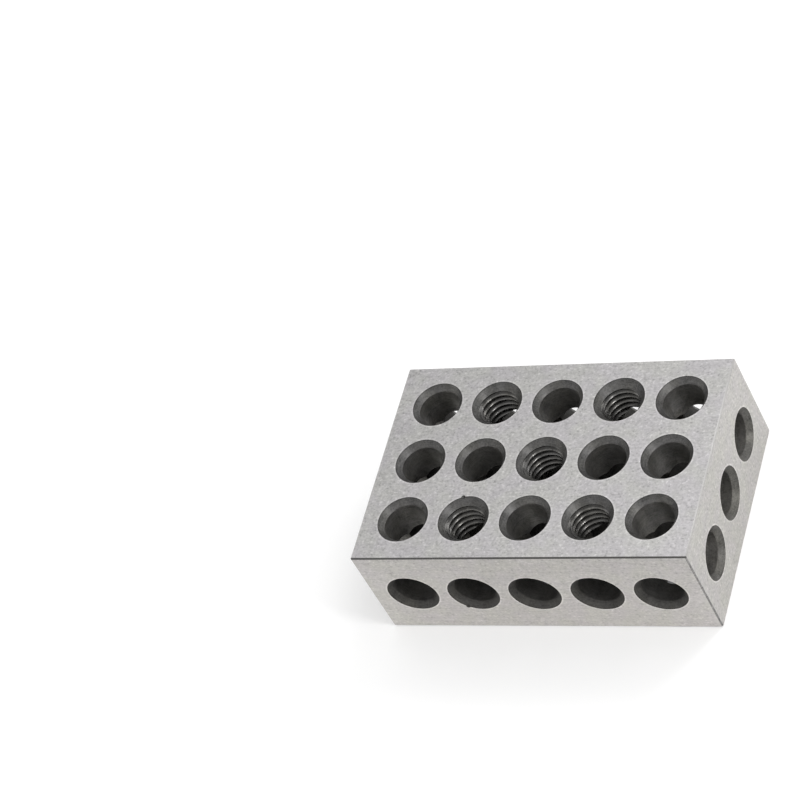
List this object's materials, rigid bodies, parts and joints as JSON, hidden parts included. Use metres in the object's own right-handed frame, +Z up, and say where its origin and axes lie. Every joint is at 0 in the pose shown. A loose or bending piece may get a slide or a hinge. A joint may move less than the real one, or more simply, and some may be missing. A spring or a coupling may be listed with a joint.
{
  "type": "machinist setup block",
  "caption": "Ground steel setup block, drilled right through in every direction on one lattice, with tapped and plain countersunk holes.",
  "frame": {"origin": "centre of the bottom 2 x 3 in face", "axes": "+X along the 3 in length, +Y across the 2 in width, +Z up through the 1 in thickness"},
  "size_m": [0.0762, 0.0508, 0.0254],
  "materials": {
    "ground_steel": "surface ground, with dark heat-treated hole walls"
  },
  "bodies": {
    "root": {"block": "ground_steel"}
  },
  "joints": []
}
